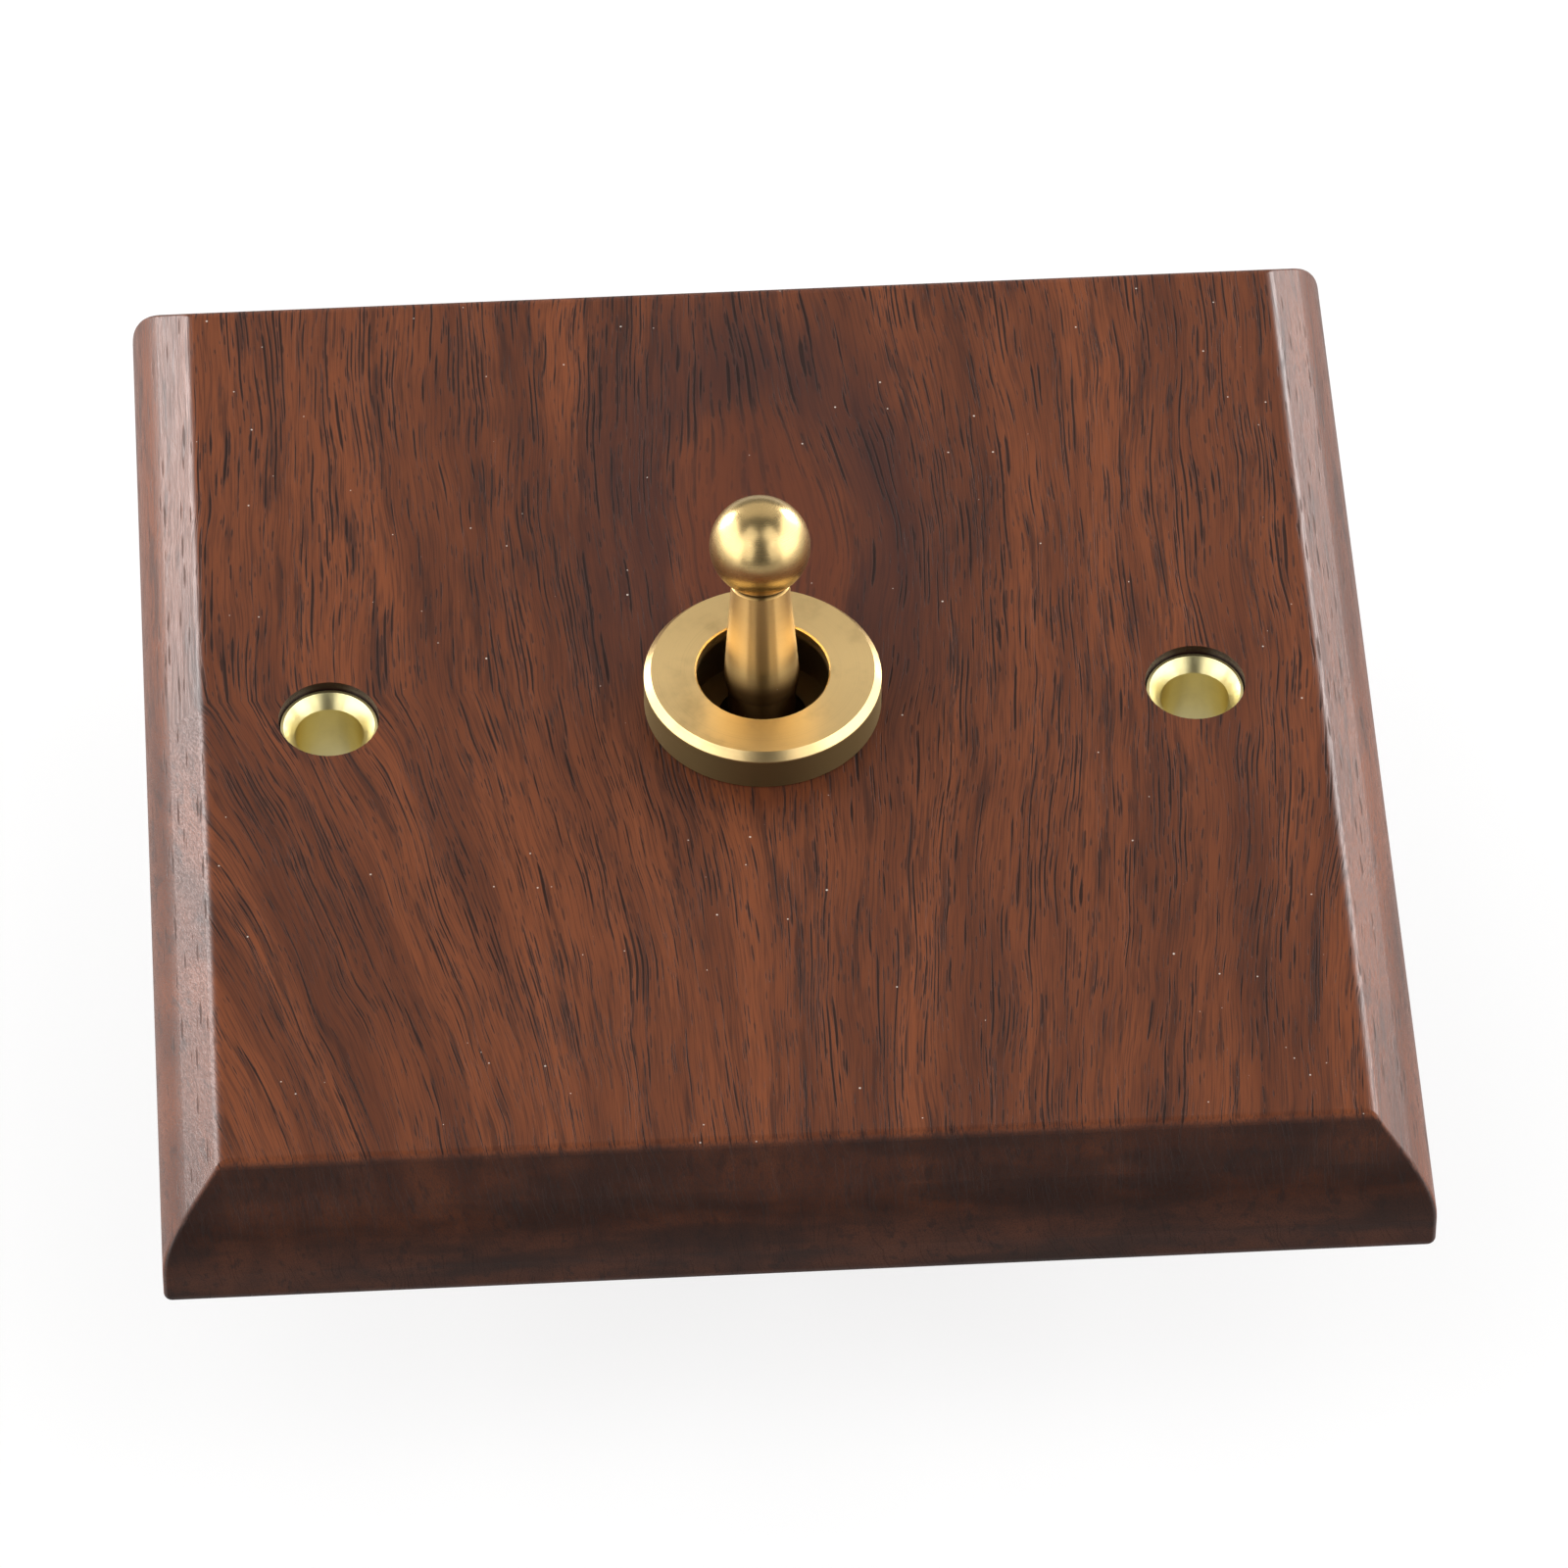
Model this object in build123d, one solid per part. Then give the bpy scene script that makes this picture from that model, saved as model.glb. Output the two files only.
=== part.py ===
from build123d import *
import math
import os

# A two-way toggle wall switch on a bevelled wooden faceplate.
#
# The origin is the centre of the faceplate's back face, on the wall. +Z points out of the wall
# towards the user, +Y up the wall and +X to the user's right. All sizes are in millimetres.

# Wooden faceplate
PLATE_WIDTH = 86.0
PLATE_HEIGHT = 89.0
PLATE_THICKNESS = 9.7
BEVEL = 4.15
BEVEL_FOOT_ROUND = 6.0
BEVEL_TOP_ROUND = 1.2
BACK_EDGE_ROUND = 1.1
MITRE_ROUND = 0.4
POCKET_RADIUS = 19.0
POCKET_DEPTH = 5.0

# Brass ferrules for the two box screws, on the standard spacing of a single wall box
SCREW_SPACING = 60.3
FERRULE_BORE_RADIUS = 2.4
FERRULE_TUBE_RADIUS = 2.95
FERRULE_RIM_RADIUS = 3.375
FERRULE_RECESS_RADIUS = 3.5
FERRULE_RIM_DROP = 0.7
FERRULE_SEAT_DROP = 1.4
FERRULE_RIM_LAND = 0.2
COUNTERSINK_DEPTH = 0.9
COUNTERSINK_BULGE = 0.03

# Threaded bushing that carries the lever, and what clamps it to the wood
THREAD_RADIUS = 7.0
THREAD_DEPTH = 0.55
THREAD_PITCH = 1.0
BUSHING_TOP = 11.8
BUSHING_MOUTH_RADIUS = 5.2
BUSHING_FLOOR = 8.0
BUSHING_BORE_RADIUS = 4.1
BUSHING_LIP_CHAMFER = (0.5, 0.8)
SPIGOT_RADIUS = 6.2
KEYWAY_WIDTH = 1.6
KEYWAY_DEPTH = 0.75
BEZEL_RADIUS = 8.25
BEZEL_TOP = 12.83
BEZEL_OPENING_RADIUS = 4.62
BEZEL_CHAMFER_WIDTH = 0.48
BEZEL_CHAMFER_HEIGHT = 0.56
BEZEL_EDGE_BREAK = 0.1
LOCATING_RING_RADIUS = 10.3
LOCATING_RING_THICKNESS = 0.8
LOCATING_TAB_WIDTH = 3.0
LOCATING_TAB_THICKNESS = 1.0
LOCATING_TAB_HEIGHT = 1.8
LOCK_WASHER_RADIUS = 9.6
LOCK_WASHER_THICKNESS = 0.8
LOCK_WASHER_TEETH = 12
TOOTH_GAP = 1.1
TOOTH_LENGTH = 1.2
EARTH_TAG_RADIUS = 9.3
EARTH_TAG_THICKNESS = 0.6
EARTH_BLADE_WIDTH = 4.8
EARTH_BLADE_REACH = 12.9
EARTH_BLADE_END = -7.5
EARTH_BLADE_CORNER = 0.9
EARTH_BLADE_HOLE_RADIUS = 0.8
EARTH_BLADE_HOLE_HEIGHT = -4.8
BACK_NUT_THICKNESS = 2.2
BACK_NUT_FLATS = 17.0
BACK_NUT_CROWN = 0.5

# Lever, measured along its own axis from the pivot
PIVOT_HEIGHT = 5.4
LEVER_TILT = 12.0
PIVOT_BALL_RADIUS = 4.02
PIVOT_PIN_RADIUS = 0.75
PIVOT_PIN_CLEARANCE = 0.07
STEM_RADIUS = 2.36
STEM_TOP = 4.75
BELLY_RADIUS = 2.61
BELLY_HEIGHT = 6.35
NECK_RADIUS = 2.03
NECK_TOP = 13.5
NECK_EDGE_BREAK = 0.12
KNOB_RADIUS = 3.5
KNOB_HEIGHT = 16.6
KNOB_THROAT_RADIUS = 1.25
KNOB_STUD_RADIUS = 0.95
TAIL_RADIUS = 2.3
TAIL_END = -8.5
SPRING_BORE_RADIUS = 1.35
SPRING_BORE_TOP = -1.7
PLUNGER_RADIUS = 1.27
PLUNGER_TIP = -11.2
PLUNGER_SHOULDER = -6.4
SPRING_WIRE_RADIUS = 0.18
SPRING_MEAN_RADIUS = 0.92
SPRING_TURNS = 5.5

# Contact rocker, measured from its fulcrum
FULCRUM_HEIGHT = -7.08
FULCRUM_RADIUS = 0.5
ROCKER_TILT = 9.0
ROCKER_THICKNESS = 0.9
ROCKER_WIDTH = 6.0
ROCKER_REACH = 11.2
ROCKER_TRACK_CLEARANCE = 0.06
TROUGH_HALF_WIDTH = 2.7
CONTACT_SPACING = 9.6
MOVING_CONTACT_RADIUS = 1.4
MOVING_CONTACT_THICKNESS = 0.7
FIXED_CONTACT_RADIUS = 1.5
FIXED_CONTACT_THICKNESS = 0.8
CONTACT_GAP = 0.06

# Switch body behind the plate
FRAME_SHEET = 1.0
INSULATOR_SHEET = 0.5
BODY_WIDTH = 18.0
BODY_LENGTH = 31.6
BODY_WALL = 1.6
BODY_CORNER_ROUND = 1.2
CAVITY_CORNER_ROUND = 0.6
BASE_LIP_HEIGHT = 1.0
BASE_LIP_CORNER_ROUND = 0.7
FRAME_BEND_ROUND = 0.7
BASE_TOP = -14.5
BASE_BOTTOM = -17.5
FRAME_LEG_CENTRE = 9.5
FRAME_LEG_WIDTH = 7.0
FRAME_TAB_REACH = 3.0
FRAME_TAB_INSET = 0.8
BARRIER_HEIGHT = 3.0
BARRIER_THICKNESS = 1.4
TERMINAL_SPACING = 9.9
TERMINAL_SHEET = 1.0
TERMINAL_WIDTH = 6.6
TERMINAL_LEG_WIDTH = 5.0
TERMINAL_LEG_OUTER = 13.4
COMMON_LEG_INNER = 4.0
COMMON_SHELF_DROP = 2.8
TERMINAL_SCREW_RADIUS = 1.75
TERMINAL_SCREW_HEAD_RADIUS = 3.0
TERMINAL_SCREW_HEAD_HEIGHT = 1.9
TERMINAL_SCREW_HEAD_ROUND = 0.8
TERMINAL_SCREW_SLOT = 0.9
CLAMP_WASHER_SIZE = 6.4
CLAMP_WASHER_THICKNESS = 0.8
CLAMP_WASHER_CORNER = 0.8

# Heights that follow from the sizes above
NUT_STACK_TOP = POCKET_DEPTH
LOCATING_RING_BOTTOM = NUT_STACK_TOP - LOCATING_RING_THICKNESS
LOCK_WASHER_BOTTOM = LOCATING_RING_BOTTOM - LOCK_WASHER_THICKNESS
EARTH_TAG_BOTTOM = LOCK_WASHER_BOTTOM - EARTH_TAG_THICKNESS
BACK_NUT_BOTTOM = EARTH_TAG_BOTTOM - BACK_NUT_THICKNESS
HOUSING_TOP = -FRAME_SHEET - INSULATOR_SHEET
TERMINAL_BOTTOM = BASE_BOTTOM - TERMINAL_SHEET
CLAMP_WASHER_BOTTOM = TERMINAL_BOTTOM - CLAMP_WASHER_THICKNESS
SCREW_SHANK_TOP = BASE_BOTTOM + 2.2
SCREW_POCKET_TOP = BASE_BOTTOM + 2.5

FROM_BOTTOM = (Align.CENTER, Align.CENTER, Align.MIN)


def rod(radius, bottom, top, x=0.0, y=0.0):
    """An upright cylinder between two heights."""
    return Pos(x, y, bottom) * Cylinder(radius, top - bottom, align=FROM_BOTTOM)


def block(x_range, y_range, z_range):
    """A box between two values on each axis."""
    size = [high - low for low, high in (x_range, y_range, z_range)]
    centre = [(high + low) / 2 for low, high in (x_range, y_range, z_range)]
    return Pos(*centre) * Box(*size)


def both_ways(half):
    """The range from -half to +half."""
    return (-half, half)


def turned(*edges):
    """A solid of revolution about Z, from edges that lie in the XZ plane."""
    return revolve(make_face(Wire(edges)), Axis.Z)


def path(*points):
    """Straight edges through (radius, height) points in the XZ plane."""
    corners = [Vector(radius, 0, height) for radius, height in points]
    return [Line(start, end) for start, end in zip(corners, corners[1:])]


def arc_about(centre_height, radius, start_angle, end_angle):
    """An arc in the XZ plane about a point on Z. Angles are in degrees, from +X towards +Z."""
    def at(angle):
        turn = math.radians(angle)
        return Vector(radius * math.cos(turn), 0, centre_height + radius * math.sin(turn))
    return ThreePointArc(at(start_angle), at((start_angle + end_angle) / 2), at(end_angle))


def on_lever(shape):
    """Moves a shape from the lever's own axis, pivot at the origin, to its rest place."""
    return Pos(0, 0, PIVOT_HEIGHT) * Rot(X=-LEVER_TILT) * shape


def on_rocker(shape, side=1):
    """Moves a shape from the rocker's own frame to its place, tilted towards one side."""
    return Pos(0, 0, FULCRUM_HEIGHT) * Rot(X=side * ROCKER_TILT) * shape


def level_edges(shape, height):
    """The edges that lie flat at one height."""
    return [edge for edge in shape.edges()
            if all(abs(edge.position_at(end).Z - height) < 1e-6 for end in (0, 1))]


def rising_edges(shape):
    """The edges that climb from one height to another."""
    return [edge for edge in shape.edges()
            if abs(edge.position_at(0).Z - edge.position_at(1).Z) > 0.1]


def bevelled_plate():
    """A plate with a wide bevel on all four sides, a rounded bevel foot and eased corners."""
    plate = Box(PLATE_WIDTH, PLATE_HEIGHT, PLATE_THICKNESS, align=FROM_BOTTOM)
    plate = chamfer(level_edges(plate, PLATE_THICKNESS), BEVEL)
    plate = fillet(level_edges(plate, PLATE_THICKNESS - BEVEL), BEVEL_FOOT_ROUND)
    plate = fillet(level_edges(plate, PLATE_THICKNESS), BEVEL_TOP_ROUND)
    plate = fillet(level_edges(plate, 0), BACK_EDGE_ROUND)
    return fillet(rising_edges(plate), MITRE_ROUND)


def wood_faceplate():
    plate = bevelled_plate()
    plate -= rod(POCKET_RADIUS, 0, POCKET_DEPTH)
    plate -= rod(THREAD_RADIUS + 0.1, 0, PLATE_THICKNESS)
    plate -= locating_tab(0.1)
    seat = PLATE_THICKNESS - FERRULE_SEAT_DROP
    for x in (-SCREW_SPACING / 2, SCREW_SPACING / 2):
        plate -= rod(FERRULE_TUBE_RADIUS, 0, seat, x)
        plate -= rod(FERRULE_RECESS_RADIUS, seat, PLATE_THICKNESS, x)
    return plate


def screw_ferrule(x):
    seat = PLATE_THICKNESS - FERRULE_SEAT_DROP
    rim = PLATE_THICKNESS - FERRULE_RIM_DROP
    rim_foot = seat + FERRULE_RIM_RADIUS - FERRULE_TUBE_RADIUS
    inner_rim = FERRULE_RIM_RADIUS - FERRULE_RIM_LAND
    countersink_foot = rim - COUNTERSINK_DEPTH
    middle_radius = (inner_rim + FERRULE_BORE_RADIUS) / 2 - COUNTERSINK_BULGE
    middle_height = (rim + countersink_foot) / 2 + COUNTERSINK_BULGE
    flare = ThreePointArc(
        Vector(inner_rim, 0, rim),
        Vector(middle_radius, 0, middle_height),
        Vector(FERRULE_BORE_RADIUS, 0, countersink_foot))
    outside = path((FERRULE_BORE_RADIUS, 0), (FERRULE_TUBE_RADIUS, 0), (FERRULE_TUBE_RADIUS, seat),
                   (FERRULE_RIM_RADIUS, rim_foot), (FERRULE_RIM_RADIUS, rim), (inner_rim, rim))
    inside = path((FERRULE_BORE_RADIUS, countersink_foot), (FERRULE_BORE_RADIUS, 0))
    return Pos(x, 0, 0) * turned(*outside, flare, *inside)


def bezel_ring_nut():
    edge_break = BEZEL_EDGE_BREAK
    lip = BUSHING_TOP + 0.1
    chamfer_foot = BEZEL_TOP - BEZEL_CHAMFER_HEIGHT
    return turned(*path(
        (THREAD_RADIUS, PLATE_THICKNESS),
        (BEZEL_RADIUS - edge_break, PLATE_THICKNESS),
        (BEZEL_RADIUS, PLATE_THICKNESS + edge_break),
        (BEZEL_RADIUS, chamfer_foot),
        (BEZEL_RADIUS - BEZEL_CHAMFER_WIDTH, BEZEL_TOP),
        (BEZEL_OPENING_RADIUS + edge_break, BEZEL_TOP),
        (BEZEL_OPENING_RADIUS, BEZEL_TOP - edge_break),
        (BEZEL_OPENING_RADIUS, lip),
        (THREAD_RADIUS, lip),
        (THREAD_RADIUS, PLATE_THICKNESS)))


def thread_profile(bottom, top):
    """Crests and roots of the bushing's thread, as (radius, height) points."""
    points = []
    for turn in range(int((top - bottom) / THREAD_PITCH)):
        start = bottom + turn * THREAD_PITCH
        points += [
            (THREAD_RADIUS, start),
            (THREAD_RADIUS, start + 0.15 * THREAD_PITCH),
            (THREAD_RADIUS - THREAD_DEPTH, start + 0.5 * THREAD_PITCH),
            (THREAD_RADIUS, start + 0.85 * THREAD_PITCH)]
    return points


def threaded_bushing():
    """Its spigot is staked over under the frame, and its floor has a seat for the pivot ball."""
    rim = THREAD_RADIUS - 0.1
    lip_width, lip_height = BUSHING_LIP_CHAMFER
    thread_end = BUSHING_TOP - lip_height
    seat_top = BUSHING_FLOOR - PIVOT_HEIGHT
    seat_angle = math.degrees(math.asin(seat_top / BUSHING_BORE_RADIUS))
    floor_hole = BUSHING_BORE_RADIUS * math.cos(math.radians(seat_angle))
    outside = path(
        (BUSHING_BORE_RADIUS, HOUSING_TOP), (rim, HOUSING_TOP), (rim, -FRAME_SHEET),
        (SPIGOT_RADIUS, -FRAME_SHEET), (SPIGOT_RADIUS, 0), *thread_profile(0, thread_end),
        (THREAD_RADIUS, thread_end), (THREAD_RADIUS - lip_width, BUSHING_TOP),
        (BUSHING_MOUTH_RADIUS, BUSHING_TOP), (BUSHING_MOUTH_RADIUS, BUSHING_FLOOR),
        (floor_hole, BUSHING_FLOOR))
    seat = arc_about(PIVOT_HEIGHT, BUSHING_BORE_RADIUS, seat_angle, 0)
    inside = path((BUSHING_BORE_RADIUS, PIVOT_HEIGHT), (BUSHING_BORE_RADIUS, HOUSING_TOP))
    bushing = turned(*outside, seat, *inside)
    bushing -= block(both_ways(KEYWAY_WIDTH / 2),
                     (-THREAD_RADIUS - 1, KEYWAY_DEPTH - THREAD_RADIUS), (0, BUSHING_TOP + 1))
    return bushing - cross_rod(PIVOT_PIN_RADIUS, THREAD_RADIUS + 1)


def cross_rod(radius, half_length):
    """A cylinder along X through the pivot."""
    return Pos(0, 0, PIVOT_HEIGHT) * Rot(Y=90) * Cylinder(radius, 2 * half_length)


def pivot_pin():
    pin = cross_rod(PIVOT_PIN_RADIUS, THREAD_RADIUS - 0.9)
    return chamfer(pin.edges().filter_by(GeomType.CIRCLE), 0.15)


def locating_tab(clearance=0.0):
    """The locating ring's tab, turned up into a pocket in the wood."""
    tab = block(both_ways(LOCATING_TAB_WIDTH / 2),
                (-LOCATING_RING_RADIUS, LOCATING_TAB_THICKNESS - LOCATING_RING_RADIUS),
                (LOCATING_RING_BOTTOM, NUT_STACK_TOP + LOCATING_TAB_HEIGHT))
    if clearance:
        tab = offset(tab, amount=clearance, kind=Kind.INTERSECTION)
    return tab


def washer(outer, bottom, top):
    """A flat ring that fits the bushing's thread."""
    return rod(outer, bottom, top) - rod(THREAD_RADIUS, bottom, top)


def locating_ring():
    ring = washer(LOCATING_RING_RADIUS, LOCATING_RING_BOTTOM, NUT_STACK_TOP)
    key_end = KEYWAY_DEPTH - THREAD_RADIUS - 0.1
    key = block(both_ways(KEYWAY_WIDTH / 2 - 0.1), (-THREAD_RADIUS - 0.5, key_end),
                (LOCATING_RING_BOTTOM, NUT_STACK_TOP))
    return ring + key + locating_tab()


def lock_washer():
    """A ring whose inner edge is cut into teeth."""
    ring = washer(LOCK_WASHER_RADIUS, LOCK_WASHER_BOTTOM, LOCATING_RING_BOTTOM)
    tooth_gap = block((THREAD_RADIUS - 0.5, THREAD_RADIUS + TOOTH_LENGTH), both_ways(TOOTH_GAP / 2),
                      (LOCK_WASHER_BOTTOM, LOCATING_RING_BOTTOM))
    return ring - [Rot(Z=360 * step / LOCK_WASHER_TEETH) * tooth_gap for step in range(LOCK_WASHER_TEETH)]


def earth_tag():
    """A ring with a blade that turns down beside the switch body."""
    outer, width = -EARTH_BLADE_REACH, both_ways(EARTH_BLADE_WIDTH / 2)
    ring = washer(EARTH_TAG_RADIUS, EARTH_TAG_BOTTOM, LOCK_WASHER_BOTTOM)
    arm = block((outer, -THREAD_RADIUS - 1), width, (EARTH_TAG_BOTTOM, LOCK_WASHER_BOTTOM))
    blade = block((outer, outer + EARTH_TAG_THICKNESS), width, (EARTH_BLADE_END, LOCK_WASHER_BOTTOM))
    hole = Cylinder(EARTH_BLADE_HOLE_RADIUS, 3 * EARTH_TAG_THICKNESS)
    blade -= Pos(outer, 0, EARTH_BLADE_HOLE_HEIGHT) * Rot(Y=90) * hole
    corners = blade.edges().filter_by(Axis.X).group_by(Axis.Z)[0]
    return ring + arm + chamfer(corners, EARTH_BLADE_CORNER)


def back_hex_nut():
    nut = Pos(0, 0, BACK_NUT_BOTTOM) * extrude(
        RegularPolygon(BACK_NUT_FLATS / 2, 6, major_radius=False), BACK_NUT_THICKNESS)
    corner = BACK_NUT_FLATS / math.sqrt(3)
    crown = turned(*path(
        (0, BACK_NUT_BOTTOM), (BACK_NUT_FLATS / 2, BACK_NUT_BOTTOM),
        (corner, BACK_NUT_BOTTOM + BACK_NUT_CROWN), (corner, EARTH_TAG_BOTTOM),
        (0, EARTH_TAG_BOTTOM), (0, BACK_NUT_BOTTOM)))
    return (nut & crown) - rod(THREAD_RADIUS, BACK_NUT_BOTTOM, EARTH_TAG_BOTTOM)


def switch_frame():
    """A steel saddle: a top plate, four legs, and tabs folded under the base."""
    inner, outer = BODY_WIDTH / 2, BODY_WIDTH / 2 + FRAME_SHEET
    frame = block(both_ways(outer), both_ways(BODY_LENGTH / 2), (-FRAME_SHEET, 0))
    frame = fillet(frame.edges().filter_by(Axis.Z), BODY_CORNER_ROUND)
    leg = block((inner, outer), both_ways(FRAME_LEG_WIDTH / 2), (TERMINAL_BOTTOM, 0))
    tab = block((outer - FRAME_TAB_REACH, outer), both_ways(FRAME_LEG_WIDTH / 2 - FRAME_TAB_INSET),
                (TERMINAL_BOTTOM, BASE_BOTTOM))
    for y in (-FRAME_LEG_CENTRE, FRAME_LEG_CENTRE):
        for turn in (0, 180):
            frame += Rot(Z=turn) * Pos(0, y, 0) * (leg + tab)
    bends = [edge for edge in frame.edges().filter_by(Axis.Y)
             if abs(abs(edge.center().X) - outer) < 1e-3
             and (abs(edge.center().Z) < 1e-3 or abs(edge.center().Z - TERMINAL_BOTTOM) < 1e-3)]
    frame = fillet(bends, FRAME_BEND_ROUND)
    return frame - rod(SPIGOT_RADIUS, -FRAME_SHEET, 0)


def top_insulator():
    sheet = block(both_ways(BODY_WIDTH / 2 - 0.1), both_ways(BODY_LENGTH / 2 - 0.1),
                  (HOUSING_TOP, -FRAME_SHEET))
    return sheet - rod(THREAD_RADIUS + 0.1, HOUSING_TOP, -FRAME_SHEET)


def switch_housing():
    """A moulded tube of rectangular section, between the insulator and the base."""
    height = (BASE_TOP, HOUSING_TOP)
    outside = block(both_ways(BODY_WIDTH / 2), both_ways(BODY_LENGTH / 2), height)
    outside = fillet(outside.edges().filter_by(Axis.Z), BODY_CORNER_ROUND)
    cavity = block(both_ways(BODY_WIDTH / 2 - BODY_WALL), both_ways(BODY_LENGTH / 2 - BODY_WALL), height)
    return outside - fillet(cavity.edges().filter_by(Axis.Z), CAVITY_CORNER_ROUND)


def terminal_base():
    """The moulded bottom, with a locating lip, leg slots, screw pockets and barriers."""
    base = block(both_ways(BODY_WIDTH / 2), both_ways(BODY_LENGTH / 2), (BASE_BOTTOM, BASE_TOP))
    base = fillet(base.edges().filter_by(Axis.Z), BODY_CORNER_ROUND)
    lip_height = (BASE_TOP, BASE_TOP + BASE_LIP_HEIGHT)
    lip_x, lip_y = BODY_WIDTH / 2 - BODY_WALL - 0.1, BODY_LENGTH / 2 - BODY_WALL - 0.1
    lip = block(both_ways(lip_x), both_ways(lip_y), lip_height)
    lip = fillet(lip.edges().filter_by(Axis.Z), BASE_LIP_CORNER_ROUND)
    lip -= block(both_ways(lip_x - 1), both_ways(lip_y - 0.7), lip_height)
    base += lip
    barrier_y = TERMINAL_SPACING / 2
    for y in (-barrier_y, barrier_y):
        rib = block(both_ways(BODY_WIDTH / 2 - 1), (y - BARRIER_THICKNESS / 2, y + BARRIER_THICKNESS / 2),
                    (BASE_BOTTOM - BARRIER_HEIGHT, BASE_BOTTOM))
        base += fillet(rib.edges().group_by(Axis.Z)[0], 0.4)
    for side in (-1, 1):
        base -= end_terminal_leg(side)
    base -= common_terminal_leg()
    for y in (-TERMINAL_SPACING, 0, TERMINAL_SPACING):
        base -= rod(TERMINAL_SCREW_RADIUS + 0.15, BASE_BOTTOM, SCREW_POCKET_TOP, 0, y)
    return base


def end_terminal_leg(side):
    """The upright strip of an end terminal, through the base."""
    inner = TERMINAL_LEG_OUTER - TERMINAL_SHEET
    y_range = sorted((side * inner, side * TERMINAL_LEG_OUTER))
    return block(both_ways(TERMINAL_LEG_WIDTH / 2), y_range, (TERMINAL_BOTTOM, end_shelf_height()))


def end_shelf_height():
    """The height where an end terminal's tilted shelf meets its leg."""
    tilt = math.radians(ROCKER_TILT)
    shelf_top = rocker_underside() - MOVING_CONTACT_THICKNESS - CONTACT_GAP - FIXED_CONTACT_THICKNESS
    return (FULCRUM_HEIGHT + (shelf_top - TERMINAL_SHEET / 2) * math.cos(tilt)
            - (TERMINAL_LEG_OUTER - TERMINAL_SHEET / 2) * math.sin(tilt))


def end_terminal(side):
    """A strip from the outside plate, up through the base, to the fixed contact's shelf."""
    inner, outer = TERMINAL_SPACING - TERMINAL_WIDTH / 2, TERMINAL_LEG_OUTER
    plate = block(both_ways(TERMINAL_WIDTH / 2), sorted((side * inner, side * outer)),
                  (TERMINAL_BOTTOM, BASE_BOTTOM))
    shelf_top = rocker_underside() - MOVING_CONTACT_THICKNESS - CONTACT_GAP - FIXED_CONTACT_THICKNESS
    slant_outer = (TERMINAL_LEG_OUTER - 0.4) / math.cos(math.radians(ROCKER_TILT))
    shelf = block(both_ways(TERMINAL_LEG_WIDTH / 2),
                  sorted((side * (CONTACT_SPACING - 2), side * slant_outer)),
                  (shelf_top - TERMINAL_SHEET, shelf_top))
    shelf = on_rocker(shelf, -side)
    hole = rod(TERMINAL_SCREW_RADIUS, TERMINAL_BOTTOM, BASE_BOTTOM, 0, side * TERMINAL_SPACING)
    return plate + end_terminal_leg(side) + shelf - hole


def common_terminal_leg():
    inner, outer = COMMON_LEG_INNER, COMMON_LEG_INNER + TERMINAL_SHEET
    return block((inner, outer), both_ways(TERMINAL_LEG_WIDTH / 2), (TERMINAL_BOTTOM, common_shelf()))


def common_shelf():
    """The top of the common terminal's inner shelf."""
    return FULCRUM_HEIGHT - COMMON_SHELF_DROP


def common_terminal():
    """The middle terminal, whose inner shelf carries the ridge that the rocker sits on."""
    half = TERMINAL_WIDTH / 2
    outer = COMMON_LEG_INNER + TERMINAL_SHEET
    plate = block((-half, outer), both_ways(half), (TERMINAL_BOTTOM, BASE_BOTTOM))
    shelf = block((-half, outer), both_ways(TERMINAL_LEG_WIDTH / 2),
                  (common_shelf() - TERMINAL_SHEET, common_shelf()))
    ridge = block(both_ways(ROCKER_WIDTH / 2), both_ways(FULCRUM_RADIUS),
                  (common_shelf(), FULCRUM_HEIGHT))
    crest = Pos(0, 0, FULCRUM_HEIGHT) * Rot(Y=90) * Cylinder(FULCRUM_RADIUS, ROCKER_WIDTH)
    hole = rod(TERMINAL_SCREW_RADIUS, TERMINAL_BOTTOM, BASE_BOTTOM)
    return plate + common_terminal_leg() + shelf + ridge + crest - hole


def fixed_contact(side):
    top = rocker_underside() - MOVING_CONTACT_THICKNESS - CONTACT_GAP
    disc = rod(FIXED_CONTACT_RADIUS, top - FIXED_CONTACT_THICKNESS, top, 0, side * CONTACT_SPACING)
    disc = chamfer(disc.edges().filter_by(GeomType.CIRCLE).group_by(Axis.Z)[-1], 0.2)
    return on_rocker(disc, -side)


def terminal_screw(y, slot_turn):
    """A slotted pan-head screw, head outwards."""
    head_bottom = CLAMP_WASHER_BOTTOM - TERMINAL_SCREW_HEAD_HEIGHT
    head = rod(TERMINAL_SCREW_HEAD_RADIUS, head_bottom, CLAMP_WASHER_BOTTOM)
    head = fillet(head.edges().filter_by(GeomType.CIRCLE).group_by(Axis.Z)[0], TERMINAL_SCREW_HEAD_ROUND)
    slot = block(both_ways(TERMINAL_SCREW_HEAD_RADIUS + 1), both_ways(TERMINAL_SCREW_SLOT / 2),
                 (head_bottom, head_bottom + TERMINAL_SCREW_SLOT))
    shank = rod(TERMINAL_SCREW_RADIUS, CLAMP_WASHER_BOTTOM, SCREW_SHANK_TOP)
    return Pos(0, y, 0) * Rot(Z=slot_turn) * (head - slot + shank)


def clamp_washer(y):
    half = CLAMP_WASHER_SIZE / 2
    plate = block(both_ways(half), both_ways(half), (CLAMP_WASHER_BOTTOM, TERMINAL_BOTTOM))
    plate = fillet(plate.edges().filter_by(Axis.Z), CLAMP_WASHER_CORNER)
    return Pos(0, y, 0) * (plate - rod(TERMINAL_SCREW_RADIUS, CLAMP_WASHER_BOTTOM, TERMINAL_BOTTOM))


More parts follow.
